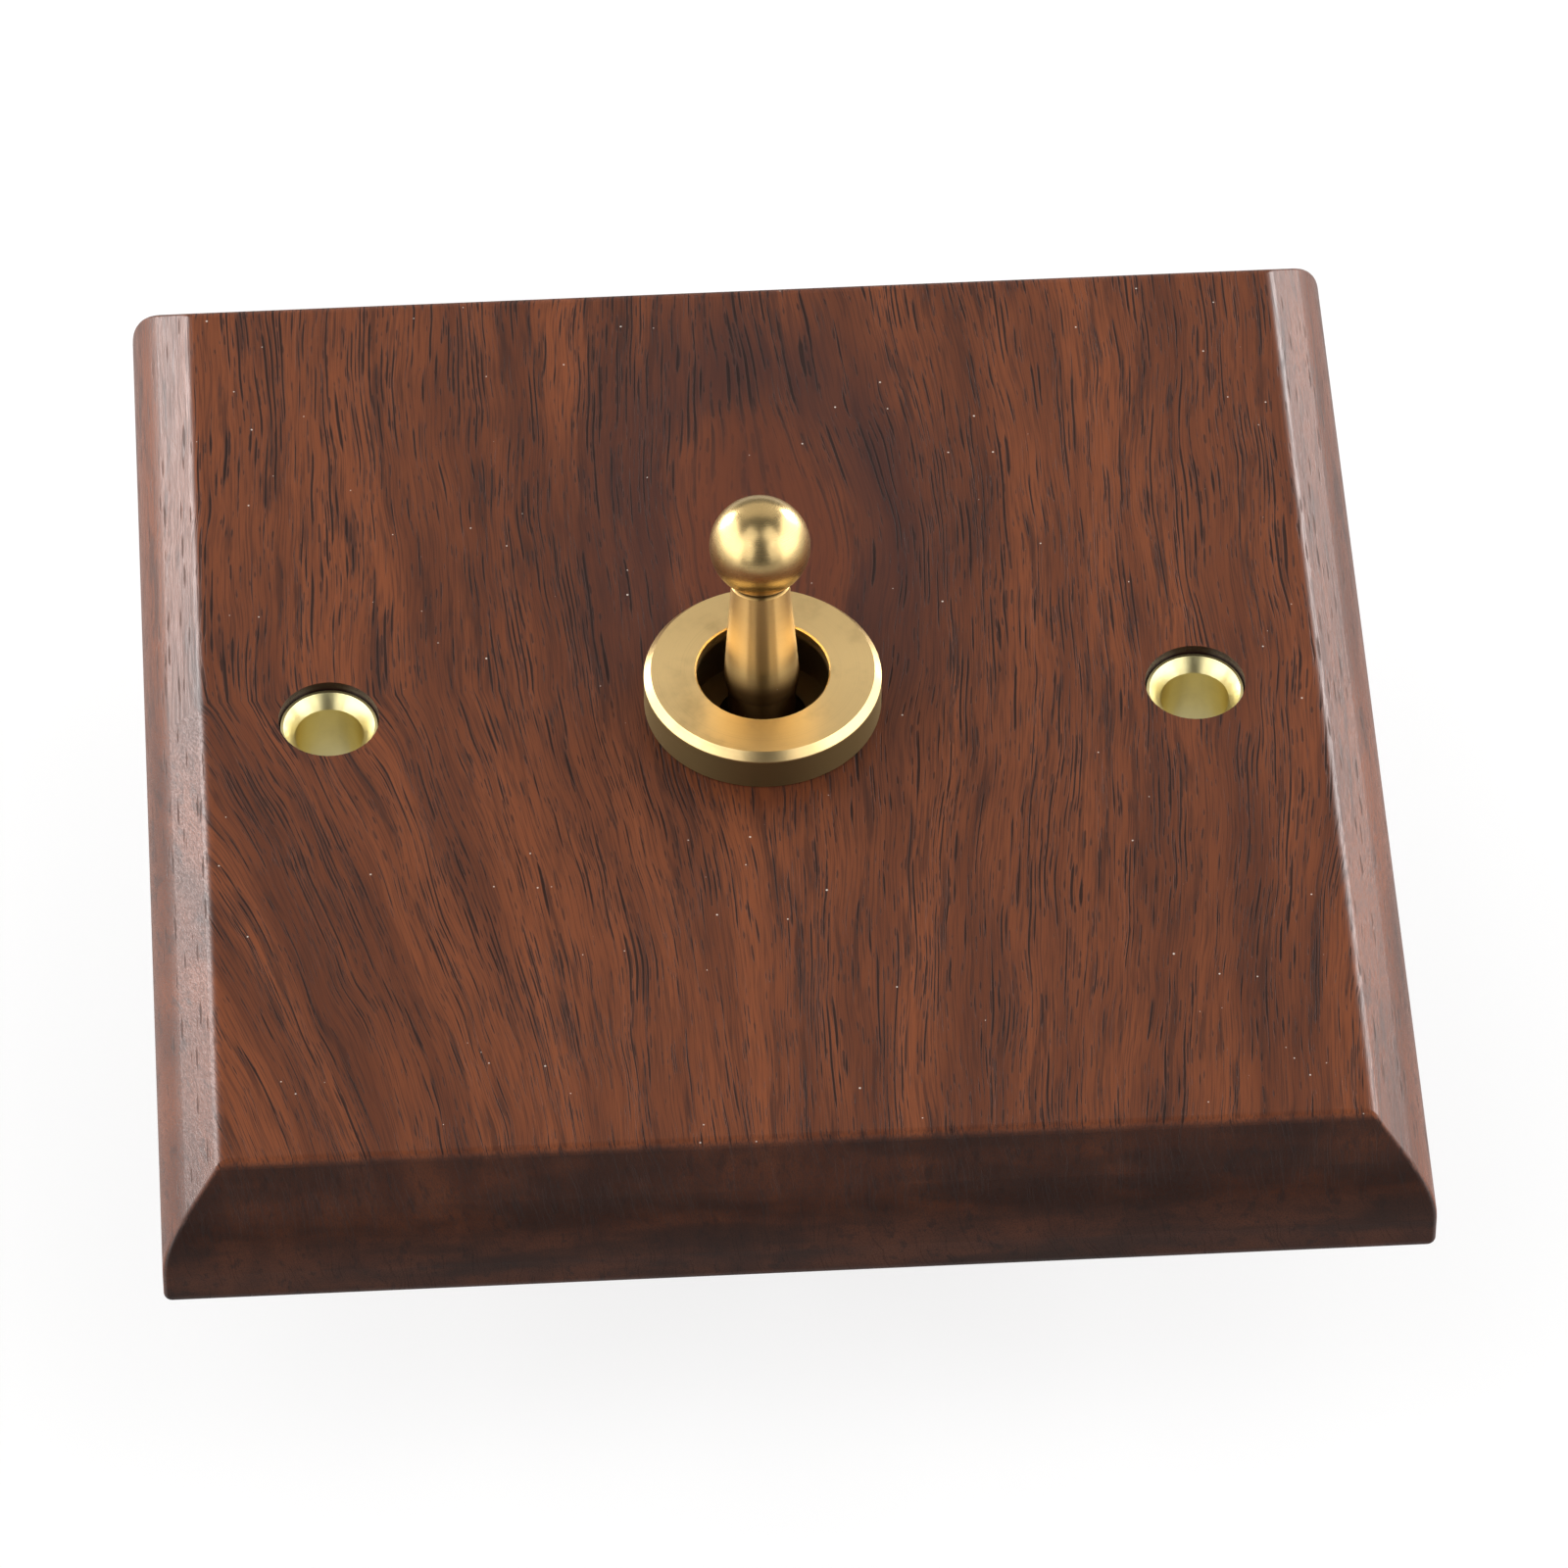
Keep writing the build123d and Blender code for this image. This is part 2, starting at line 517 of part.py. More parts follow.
def toggle_lever():
    """A turned lever: neck, belly and stem above the pivot ball, and a bored tail below it."""
    knob_stud_top = KNOB_HEIGHT - KNOB_RADIUS / 2
    stem_angle = math.degrees(math.acos(STEM_RADIUS / PIVOT_BALL_RADIUS))
    tail_angle = math.degrees(math.acos(TAIL_RADIUS / PIVOT_BALL_RADIUS))
    tail_bottom = path((SPRING_BORE_RADIUS, TAIL_END), (TAIL_RADIUS - 0.3, TAIL_END),
                       (TAIL_RADIUS, TAIL_END + 0.3),
                       (TAIL_RADIUS, -PIVOT_BALL_RADIUS * math.sin(math.radians(tail_angle))))
    ball = arc_about(0, PIVOT_BALL_RADIUS, -tail_angle, stem_angle)
    stem = path((STEM_RADIUS, PIVOT_BALL_RADIUS * math.sin(math.radians(stem_angle))),
                (STEM_RADIUS, STEM_TOP))
    shoulder = Spline(
        Vector(STEM_RADIUS, 0, STEM_TOP), Vector(BELLY_RADIUS, 0, BELLY_HEIGHT),
        tangents=(Vector(0.45, 0, 1), Vector(NECK_RADIUS - BELLY_RADIUS, 0, NECK_TOP - BELLY_HEIGHT)))
    top = path((BELLY_RADIUS, BELLY_HEIGHT), (NECK_RADIUS, NECK_TOP - NECK_EDGE_BREAK),
               (NECK_RADIUS - NECK_EDGE_BREAK, NECK_TOP), (KNOB_STUD_RADIUS, NECK_TOP),
               (KNOB_STUD_RADIUS, knob_stud_top), (0, knob_stud_top), (0, SPRING_BORE_TOP),
               (SPRING_BORE_RADIUS, SPRING_BORE_TOP - 0.5), (SPRING_BORE_RADIUS, TAIL_END))
    lever = turned(*tail_bottom, ball, *stem, shoulder, *top)
    lever -= Rot(Y=90) * Cylinder(PIVOT_PIN_RADIUS + PIVOT_PIN_CLEARANCE, 3 * PIVOT_BALL_RADIUS)
    return on_lever(lever)


def ball_knob():
    """A brass ball screwed on the lever's stud, with a short throat under it."""
    ball = Pos(0, 0, KNOB_HEIGHT) * Sphere(KNOB_RADIUS)
    throat = rod(KNOB_THROAT_RADIUS, NECK_TOP, NECK_TOP + 1)
    below = rod(KNOB_RADIUS, NECK_TOP - 1, NECK_TOP)
    stud_hole = rod(KNOB_STUD_RADIUS, NECK_TOP, KNOB_HEIGHT - KNOB_RADIUS / 2)
    return on_lever(ball + throat - below - stud_hole)


def lever_plunger():
    tip_centre = PLUNGER_TIP + PLUNGER_RADIUS
    pilot = 0.5
    outside = path((PLUNGER_RADIUS, tip_centre), (PLUNGER_RADIUS, PLUNGER_SHOULDER),
                   (pilot, PLUNGER_SHOULDER), (pilot, PLUNGER_SHOULDER + 0.8),
                   (0, PLUNGER_SHOULDER + 0.8), (0, PLUNGER_TIP))
    tip = arc_about(tip_centre, PLUNGER_RADIUS, -90, 0)
    return on_lever(turned(tip, *outside))


def plunger_spring():
    """A compression spring between the plunger's shoulder and the end of the lever's bore."""
    bottom = PLUNGER_SHOULDER + SPRING_WIRE_RADIUS + 0.02
    top = SPRING_BORE_TOP - 0.5 - SPRING_WIRE_RADIUS - 0.02
    coil = Helix(pitch=(top - bottom) / SPRING_TURNS, height=top - bottom, radius=SPRING_MEAN_RADIUS)
    section = Plane(origin=coil @ 0, z_dir=coil % 0) * Circle(SPRING_WIRE_RADIUS)
    return on_lever(Pos(0, 0, bottom) * sweep(section, path=coil, is_frenet=True))


def plunger_track():
    """The trough that the plunger's tip follows: its centre height and its radius.

    The rocker turns against the lever, so the tip's centre moves on a short arc in the rocker's
    own frame. The arc through its middle and end places gives the trough."""
    arm = -(PLUNGER_TIP + PLUNGER_RADIUS)
    middle = PIVOT_HEIGHT - arm - FULCRUM_HEIGHT
    lever, rocker = math.radians(LEVER_TILT), math.radians(ROCKER_TILT)
    y = -arm * math.sin(lever)
    z = PIVOT_HEIGHT - arm * math.cos(lever) - FULCRUM_HEIGHT
    end_y = y * math.cos(rocker) + z * math.sin(rocker)
    end_z = z * math.cos(rocker) - y * math.sin(rocker)
    rise = end_z - middle
    radius = (end_y ** 2 + rise ** 2) / (2 * rise)
    return middle + radius, radius + PLUNGER_RADIUS + ROCKER_TRACK_CLEARANCE


def rocker_top():
    """The height of the rocker's flat arms, where the trough ends."""
    centre, radius = plunger_track()
    return centre - math.sqrt(radius ** 2 - TROUGH_HALF_WIDTH ** 2)


def rocker_underside():
    return rocker_top() - ROCKER_THICKNESS


def contact_rocker():
    """A brass strip with a trough in its middle, seated on the common terminal's ridge."""
    centre, radius = plunger_track()
    top, under = rocker_top(), rocker_underside()
    outer_radius = radius + ROCKER_THICKNESS
    outer_half = math.sqrt(outer_radius ** 2 - (centre - under) ** 2)
    trough = ThreePointArc(Vector(0, TROUGH_HALF_WIDTH, top), Vector(0, 0, centre - radius),
                           Vector(0, -TROUGH_HALF_WIDTH, top))
    belly = ThreePointArc(Vector(0, -outer_half, under), Vector(0, 0, centre - outer_radius),
                          Vector(0, outer_half, under))
    left = [Vector(0, -TROUGH_HALF_WIDTH, top), Vector(0, -ROCKER_REACH, top),
            Vector(0, -ROCKER_REACH, under), Vector(0, -outer_half, under)]
    right = [Vector(0, outer_half, under), Vector(0, ROCKER_REACH, under),
             Vector(0, ROCKER_REACH, top), Vector(0, TROUGH_HALF_WIDTH, top)]
    sides = [Line(a, b) for run in (left, right) for a, b in zip(run, run[1:])]
    strip = extrude(make_face(Wire([trough, belly, *sides])), ROCKER_WIDTH / 2, dir=(1, 0, 0), both=True)
    seat_radius = FULCRUM_RADIUS + ROCKER_TRACK_CLEARANCE
    strip -= Rot(Y=90) * Cylinder(seat_radius, ROCKER_WIDTH + 1)
    for y in (-CONTACT_SPACING, CONTACT_SPACING):
        strip -= rod(MOVING_CONTACT_RADIUS / 2, under, top, 0, y)
    return on_rocker(strip)


def moving_contact(side):
    """A silver rivet, its head under the arm."""
    top, under = rocker_top(), rocker_underside()
    head = rod(MOVING_CONTACT_RADIUS, under - MOVING_CONTACT_THICKNESS, under)
    head = chamfer(head.edges().filter_by(GeomType.CIRCLE).group_by(Axis.Z)[0], 0.2)
    shank = rod(MOVING_CONTACT_RADIUS / 2, under, top)
    return on_rocker(Pos(0, side * CONTACT_SPACING, 0) * (head + shank))


def write_parts():
    half_spacing = SCREW_SPACING / 2
    end_y = TERMINAL_SPACING
    parts = {
        "wood_faceplate": [wood_faceplate()],
        "left_screw_ferrule": [screw_ferrule(-half_spacing)],
        "right_screw_ferrule": [screw_ferrule(half_spacing)],
        "bezel_ring_nut": [bezel_ring_nut()],
        "threaded_bushing": [threaded_bushing()],
        "pivot_pin": [pivot_pin()],
        "locating_ring": [locating_ring()],
        "lock_washer": [lock_washer()],
        "earth_tag": [earth_tag()],
        "back_hex_nut": [back_hex_nut()],
        "switch_frame": [switch_frame()],
        "top_insulator": [top_insulator()],
        "switch_housing": [switch_housing()],
        "terminal_base": [terminal_base()],
        "common_terminal": [common_terminal()],
        "upper_terminal": [end_terminal(1)],
        "lower_terminal": [end_terminal(-1)],
        "upper_fixed_contact": [fixed_contact(1)],
        "lower_fixed_contact": [fixed_contact(-1)],
        "terminal_screws": [terminal_screw(y, turn) for y, turn in ((-end_y, 20), (0, 75), (end_y, -35))],
        "clamp_washers": [clamp_washer(y) for y in (-end_y, 0, end_y)],
        "toggle_lever": [toggle_lever()],
        "ball_knob": [ball_knob()],
        "lever_plunger": [lever_plunger()],
        "plunger_spring": [plunger_spring()],
        "contact_rocker": [contact_rocker()],
        "moving_contacts": [moving_contact(-1), moving_contact(1)],
    }
    os.makedirs("parts", exist_ok=True)
    for name, shapes in parts.items():
        solids = [solid for shape in shapes for solid in shape.solids()]
        export_step(solids[0] if len(solids) == 1 else Compound(children=solids), f"parts/{name}.step")


write_parts()
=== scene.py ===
import bpy
import math
from mathutils import Matrix, Vector


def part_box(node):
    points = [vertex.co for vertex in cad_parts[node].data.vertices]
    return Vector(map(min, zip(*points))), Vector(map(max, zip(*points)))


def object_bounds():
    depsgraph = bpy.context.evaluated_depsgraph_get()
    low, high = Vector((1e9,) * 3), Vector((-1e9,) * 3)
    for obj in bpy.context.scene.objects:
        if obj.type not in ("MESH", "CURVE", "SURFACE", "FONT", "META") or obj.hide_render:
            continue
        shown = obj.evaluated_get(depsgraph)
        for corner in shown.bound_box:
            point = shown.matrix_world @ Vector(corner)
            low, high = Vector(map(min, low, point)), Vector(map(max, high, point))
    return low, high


MM = 0.001
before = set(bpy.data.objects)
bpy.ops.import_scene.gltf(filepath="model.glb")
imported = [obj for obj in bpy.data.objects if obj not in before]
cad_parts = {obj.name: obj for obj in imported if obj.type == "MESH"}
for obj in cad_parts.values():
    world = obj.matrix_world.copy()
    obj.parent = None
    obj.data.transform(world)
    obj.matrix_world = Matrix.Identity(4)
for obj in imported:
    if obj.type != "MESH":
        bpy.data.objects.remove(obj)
cad_low, cad_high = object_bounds()


# ---------------------------------------------------------------- camera, floor and light

CAMERA_AZIMUTH = -3.578
CAMERA_ELEVATION = 47.229
CAMERA_ROLL = 0.177
CAMERA_DISTANCE = 825.98 * MM
CAMERA_LENS = 270.58
SENSOR_WIDTH = 36
NEAREST, FARTHEST = 0.01, 20
AIM_RIGHT = 1.502 * MM
AIM_UP = 0.792 * MM


def view_axes(azimuth, elevation, roll):
    """The camera's right, up and back directions."""
    a, e, r = (math.radians(angle) for angle in (azimuth, elevation, roll))
    back = Vector((math.sin(a) * math.cos(e), -math.cos(a) * math.cos(e), math.sin(e)))
    right = (-back).cross(Vector((0, 0, 1))).normalized()
    up = back.cross(right)
    return (right * math.cos(r) + up * math.sin(r), up * math.cos(r) - right * math.sin(r), back)


def make_camera():
    """A long lens that looks at the plate from above its lower edge."""
    right, up, back = view_axes(CAMERA_AZIMUTH, CAMERA_ELEVATION, CAMERA_ROLL)
    data = bpy.data.cameras.new("camera")
    data.lens = CAMERA_LENS
    data.sensor_width = SENSOR_WIDTH
    data.clip_start, data.clip_end = NEAREST, FARTHEST
    camera = bpy.data.objects.new("camera", data)
    place = Matrix((right, up, back)).transposed().to_4x4()
    place.translation = back * CAMERA_DISTANCE + right * AIM_RIGHT + up * AIM_UP
    camera.matrix_world = place
    bpy.context.scene.collection.objects.link(camera)
    bpy.context.scene.camera = camera


def area_light(name, place, target, size, radiance, colour=(1, 1, 1)):
    """A rectangular light in metres. Radiance is how bright its face is, whatever its size."""
    data = bpy.data.lights.new(name, "AREA")
    data.shape = "RECTANGLE"
    data.size, data.size_y = size
    data.energy = radiance * math.pi * size[0] * size[1]
    data.color = colour
    light = bpy.data.objects.new(name, data)
    light.location = place
    light.rotation_euler = (Vector(target) - Vector(place)).to_track_quat("-Z", "Y").to_euler()
    bpy.context.scene.collection.objects.link(light)


BACKDROP_GLOW = 1.0
FRONT_GLOW = 0.07
BACK_GLOW = 0.10
GLOW_COLOUR = (0.93, 0.96, 1, 1)
GLOW_FADE = (-0.3, 0.7)


def make_world():
    """Pale behind the object in any view, and dim as a source of light."""
    world = bpy.data.worlds.new("studio")
    world.use_nodes = True
    nodes, links = world.node_tree.nodes, world.node_tree.links
    backdrop = nodes["Background"]
    backdrop.inputs["Color"].default_value = (1, 1, 1, 1)
    backdrop.inputs["Strength"].default_value = BACKDROP_GLOW
    dim = nodes.new("ShaderNodeBackground")
    dim.inputs["Color"].default_value = GLOW_COLOUR
    direction = nodes.new("ShaderNodeSeparateXYZ")
    links.new(nodes.new("ShaderNodeTexCoord").outputs["Generated"], direction.inputs[0])
    fade = nodes.new("ShaderNodeMapRange")
    links.new(direction.outputs["Y"], fade.inputs["Value"])
    fade.inputs["From Min"].default_value, fade.inputs["From Max"].default_value = GLOW_FADE
    fade.inputs["To Min"].default_value = FRONT_GLOW
    fade.inputs["To Max"].default_value = BACK_GLOW
    links.new(fade.outputs[0], dim.inputs["Strength"])
    rays = nodes.new("ShaderNodeLightPath")
    mix = nodes.new("ShaderNodeMixShader")
    links.new(rays.outputs["Is Camera Ray"], mix.inputs[0])
    links.new(dim.outputs[0], mix.inputs[1])
    links.new(backdrop.outputs[0], mix.inputs[2])
    links.new(mix.outputs[0], nodes["World Output"].inputs[0])
    bpy.context.scene.world = world


FLOOR_BOUNCE = 0.24
FLOOR_SHADE = 0.30
FLOOR_DIM_GLOW = 0.26
FLOOR_GLOW = 0.72
FLOOR_HALF = 1.5
FLOOR_GAP = 0.2 * MM


def make_floor():
    """A plain white table top under the switch body, lit from below like a light table.

    It glows for the camera, to look white, and only faintly as a source of light."""
    mesh = bpy.data.meshes.new("floor")
    half, level = FLOOR_HALF, cad_low.z - FLOOR_GAP
    corners = [(-half, -half, level), (half, -half, level), (half, half, level), (-half, half, level)]
    mesh.from_pydata(corners, [], [(0, 1, 2, 3)])
    floor = bpy.data.objects.new("floor", mesh)
    bpy.context.scene.collection.objects.link(floor)
    look = Look("floor_white", roughness=0.8)
    seen = look.node("ShaderNodeLightPath").outputs["Is Camera Ray"]
    look.set("Base Color", look.mix(seen, grey(FLOOR_BOUNCE), grey(FLOOR_SHADE)))
    look.set("Emission Color", grey(1))
    look.set("Emission Strength", look.between(seen, FLOOR_DIM_GLOW, FLOOR_GLOW))
    mesh.materials.append(look.material)


# ---------------------------------------------------------------- materials

class Look:
    """A material built node by node. Lengths in it are in millimetres."""

    def __init__(self, name, **shader):
        self.material = bpy.data.materials.new(name)
        self.material.use_nodes = True
        self.tree = self.material.node_tree
        self.shader = self.tree.nodes["Principled BSDF"]
        for key, value in shader.items():
            self.set(key.replace("_", " ").title().replace("Ior", "IOR"), value)

    def set(self, socket, value):
        """Sets one of the shader's sockets to a value or to another node's output."""
        self.feed(self.shader.inputs[socket], value)

    def feed(self, socket, value):
        if isinstance(value, bpy.types.NodeSocket):
            self.tree.links.new(value, socket)
        elif isinstance(value, tuple) and len(value) == 3 and socket.type == "RGBA":
            socket.default_value = (*value, 1)
        else:
            socket.default_value = value

    def node(self, kind, *values, **settings):
        made = self.tree.nodes.new(kind)
        for key, value in settings.items():
            setattr(made, key, value)
        for socket, value in zip(made.inputs, values):
            if value is not None:
                self.feed(socket, value)
        return made

    def math(self, operation, *values):
        return self.node("ShaderNodeMath", *values, operation=operation).outputs[0]

    def split(self, vector):
        return self.node("ShaderNodeSeparateXYZ", vector).outputs[:]

    def join(self, x, y, z):
        return self.node("ShaderNodeCombineXYZ", x, y, z).outputs[0]

    def place(self, turn=(0, 0, 0), centre=(0, 0, 0)):
        """The object's own coordinates in mm, after moving centre to the origin and turning."""
        coordinates = self.node("ShaderNodeTexCoord").outputs["Object"]
        scaled = self.node("ShaderNodeVectorMath", coordinates, operation="SCALE")
        scaled.inputs["Scale"].default_value = 1 / MM
        moved = self.node("ShaderNodeVectorMath", scaled.outputs[0], centre, operation="SUBTRACT").outputs[0]
        return self.node("ShaderNodeMapping", moved, (0, 0, 0), turn, vector_type="POINT").outputs[0]

    def stretch(self, vector, size):
        """Coordinates divided by a grain size along each axis."""
        scale = tuple(1 / s for s in size)
        return self.node("ShaderNodeVectorMath", vector, scale, operation="MULTIPLY").outputs[0]

    def noise(self, vector, size, detail=2.0, roughness=0.5, distortion=0.0):
        """Noise from 0 to 1, with features of the given size along each axis."""
        made = self.node("ShaderNodeTexNoise", noise_dimensions="3D")
        self.feed(made.inputs["Vector"], self.stretch(vector, size))
        made.inputs["Scale"].default_value = 1
        made.inputs["Detail"].default_value = detail
        made.inputs["Roughness"].default_value = roughness
        made.inputs["Distortion"].default_value = distortion
        return made.outputs["Fac"]

    def step(self, value, low, high):
        """0 below low, 1 above high, and a smooth rise between. Low may be the larger."""
        made = self.node("ShaderNodeMapRange", value, interpolation_type="SMOOTHSTEP")
        if low > high:
            bounds = (high, low, 1.0, 0.0)
        else:
            bounds = (low, high, 0.0, 1.0)
        for socket, bound in zip(("From Min", "From Max", "To Min", "To Max"), bounds):
            made.inputs[socket].default_value = bound
        return made.outputs[0]

    def spindles(self, vector, size, radius, share):
        """Slim marks scattered along the grain. Share, from 0 to 1, says how many of them there are."""
        cells = self.node("ShaderNodeTexVoronoi", voronoi_dimensions="3D")
        self.feed(cells.inputs["Vector"], self.stretch(vector, size))
        cells.inputs["Scale"].default_value = 1
        luck, depth, _ = self.split(cells.outputs["Color"])
        reach = self.between(depth, radius * 0.6, radius * 1.3)
        edge = self.math("DIVIDE", cells.outputs["Distance"], reach)
        return self.math("MULTIPLY", self.step(edge, 1.0, 0.55), self.math("LESS_THAN", luck, share))

    def mix(self, share, first, second, blend="MIX"):
        made = self.node("ShaderNodeMix", data_type="RGBA", blend_type=blend)
        self.feed(made.inputs["Factor"], share)
        self.feed(made.inputs[6], first)
        self.feed(made.inputs[7], second)
        return made.outputs[2]

    def between(self, share, low, high):
        made = self.node("ShaderNodeMapRange", share)
        made.inputs["To Min"].default_value = low
        made.inputs["To Max"].default_value = high
        return made.outputs[0]

    def bump(self, height, strength, distance_mm, normal=None):
        made = self.node("ShaderNodeBump")
        made.inputs["Strength"].default_value = strength
        made.inputs["Distance"].default_value = distance_mm * MM
        self.feed(made.inputs["Height"], height)
        if normal is not None:
            self.feed(made.inputs["Normal"], normal)
        return made.outputs[0]


def grey(level):
    return (level, level, level)


def srgb(code):
    """A colour code such as 7A4530 as linear red, green and blue."""
    parts = [int(code[i:i + 2], 16) / 255 for i in (0, 2, 4)]
    return tuple(p / 12.92 if p <= 0.04045 else ((p + 0.055) / 1.055) ** 2.4 for p in parts)


# Walnut. A grain size is the length of a feature across, along and through the wood. The coordinates
# are those of the plate: x across, y along the grain, z out of the wall.

KNOT_CENTRE = (0.5, 17.0)
KNOT_PULL = 45.0
KNOT_SOFTNESS = 60.0
KNOT_STRETCH = 0.55
KNOT_RAG_SIZE, KNOT_RAG = (4, 9, 4), 6.0
CORE_EDGE = (7.5, 4.5)
HALO_INNER_EDGE = (4.5, 8.5)
HALO_OUTER_EDGE = (17.0, 8.5)
SWAY_SIZE, SWAY = (16, 45, 16), 5.0
RIPPLE_SIZE, RIPPLE = (5, 9, 5), 0.8
CLOSING_START = 2.0
LEFT_CONVERGENCE = 0.011
RIGHT_CONVERGENCE = 0.003
CONVERGENCE_CHANGE = (-15, 8)

BAND_SIZE = (5, 50, 5)
STREAK_SIZE = (1.0, 13, 1.0)
FIBRE_SIZE = (0.12, 5, 0.12)
CLOUD_SIZE = (16, 6, 3)
CROWD_SIZE = (3.0, 22, 3.0)
DASH_SIZE, DASH_RADIUS, DASH_SHARE = (0.30, 3.2, 0.30), 0.36, 0.40
GLINT_SIZE, GLINT_RADIUS, GLINT_SHARE = (1.8, 1.8, 1.8), 0.042, 0.9
LONG_SLIT_SPACING, LONG_SLIT_LENGTH = 0.36, 6.0
SHORT_SLIT_SPACING, SHORT_SLIT_LENGTH = 0.30, 1.8
SLIT_SLANT = 0.25
SLIT_WANDER_SIZE, SLIT_WANDER = (3, 40, 3), 5.0
SLIT_DEPTH = 4.0
WIDEST_SLIT = 0.22
ROW_OFFSET = 7.31

WALNUT_DEEP = (0.110, 0.030, 0.012)
WALNUT_WARM = (0.215, 0.060, 0.021)
WALNUT_STREAK = (0.034, 0.012, 0.008)
WALNUT_FIGURE = (0.045, 0.015, 0.012)
WALNUT_KNOT = (0.120, 0.031, 0.013)
# Pore colour, also laid on as painted shade: in part on the end faces, and fully on the walls of the ferrule
# holes.
WALNUT_PORE_AND_SHADE = (0.016, 0.007, 0.005)
WALNUT_GLINT = (0.85, 0.75, 0.65)
# A pale painted sheen for the side bevels.
WALNUT_PAINTED_SHEEN = (0.45, 0.36, 0.33)


def grain_space(look):
    """Coordinates in which the grain runs straight along Y, the plate's own, and the distance to the knot.

    The fibres part round a knot above the middle and close up again below it, more so on the left."""
    x, y, z = look.split(look.place())
    position = look.join(x, y, z)
    sway = look.math("SUBTRACT", look.noise(position, SWAY_SIZE, detail=2), 0.5)
    ripple = look.math("SUBTRACT", look.noise(position, RIPPLE_SIZE, detail=1), 0.5)
    x = look.math("ADD", x, look.math("MULTIPLY", sway, SWAY))
    x = look.math("ADD", x, look.math("MULTIPLY", ripple, RIPPLE))
    across = look.math("SUBTRACT", x, KNOT_CENTRE[0])
    along = look.math("MULTIPLY", look.math("SUBTRACT", y, KNOT_CENTRE[1]), KNOT_STRETCH)
    square = look.math("ADD", look.math("MULTIPLY", across, across), look.math("MULTIPLY", along, along))
    pull = look.math("DIVIDE", KNOT_PULL, look.math("ADD", square, KNOT_SOFTNESS))
    parted = look.math("MULTIPLY", across, look.math("SUBTRACT", 1.0, pull))
    below = look.math("MAXIMUM", look.math("SUBTRACT", CLOSING_START, y), 0.0)
    rate = look.between(look.step(x, *CONVERGENCE_CHANGE), LEFT_CONVERGENCE, RIGHT_CONVERGENCE)
    closing = look.math("ADD", 1.0, look.math("MULTIPLY", below, rate))
    straight = look.math("MULTIPLY", parted, closing)
    return look.join(straight, y, z), position, look.math("SQRT", square)


def knot_masks(look, position, ring):
    """The knot's core, and the dark figure round it."""
    rag = look.math("SUBTRACT", look.noise(position, KNOT_RAG_SIZE, detail=3), 0.5)
    ragged = look.math("ADD", ring, look.math("MULTIPLY", rag, KNOT_RAG))
    core = look.step(ragged, *CORE_EDGE)
    halo = look.math("MULTIPLY", look.step(ragged, *HALO_INNER_EDGE), look.step(ragged, *HALO_OUTER_EDGE))
    return core, halo


def walnut():
    """Oiled walnut: warm bands, dark streaks, open pores, and a dark figure round the knot.

    Its end grain drinks more oil and is darker, and part of that darkening is painted shade on the two ends,
    which face away from the light. The walls of the ferrule holes hold painted shade. Its side bevels are
    smoother, and a painted sheen makes them a little paler."""
    look = Look("walnut_oiled", ior=1.5, specular_ior_level=0.25)
    grain, position, ring = grain_space(look)
    bands = look.noise(grain, BAND_SIZE, detail=3, roughness=0.6)
    streaks = look.noise(grain, STREAK_SIZE, detail=4, roughness=0.65)
    fibres = look.noise(grain, FIBRE_SIZE, detail=2, roughness=0.65)
    dark_streaks = look.step(streaks, 0.53, 0.66)
    core, halo = knot_masks(look, position, ring)
    sideways, endways, upward = look.split(look.node("ShaderNodeTexCoord").outputs["Normal"])
    end_grain = look.step(look.math("ABSOLUTE", endways), 0.35, 0.75)
    bevel = look.step(look.math("ABSOLUTE", sideways), 0.25, 0.60)
    pores = walnut_pores(look, grain, position, dark_streaks, core, bevel, end_grain)
    clouds = look.step(look.noise(position, CLOUD_SIZE, detail=3, roughness=0.6), 0.38, 0.62)
    glints = look.spindles(position, GLINT_SIZE, GLINT_RADIUS, GLINT_SHARE)
    glints = look.math("MULTIPLY", glints, look.step(upward, 0.80, 0.95))

    colour = look.mix(look.step(bands, 0.32, 0.68), WALNUT_DEEP, WALNUT_WARM)
    for share, most, tint in (
            (dark_streaks, 0.60, WALNUT_STREAK),
            (look.step(fibres, 0.42, 0.66), 0.55, WALNUT_STREAK),
            (halo, 0.7, WALNUT_FIGURE),
            (core, 0.6, WALNUT_KNOT),
            (pores, 0.9, WALNUT_PORE_AND_SHADE),
            # End grain: darker oiled wood, and in part painted shade on the ends that face away from the
            # light.
            (end_grain, look.between(clouds, 0.68, 0.90), WALNUT_PORE_AND_SHADE),
            # Painted shade on the walls of the ferrule holes.
            (recess_shade_mask(look, position), 0.85, WALNUT_PORE_AND_SHADE),
            # Painted sheen on the side bevels.
            (bevel, 0.10, WALNUT_PAINTED_SHEEN),
            (glints, 0.75, WALNUT_GLINT)):
        colour = look.mix(look.math("MULTIPLY", share, most), colour, tint)
    look.set("Base Color", colour)

    rough = look.between(look.step(fibres, 0.35, 0.65), 0.34, 0.50)
    rough = look.math("ADD", rough, look.math("MULTIPLY", pores, 0.5))
    look.set("Roughness", look.math("SUBTRACT", rough, look.math("MULTIPLY", bevel, 0.10)))
    relief = look.math("SUBTRACT", look.math("MULTIPLY", fibres, 0.35), pores)
    look.set("Normal", look.bump(relief, 0.4, 0.05))
    return look.material


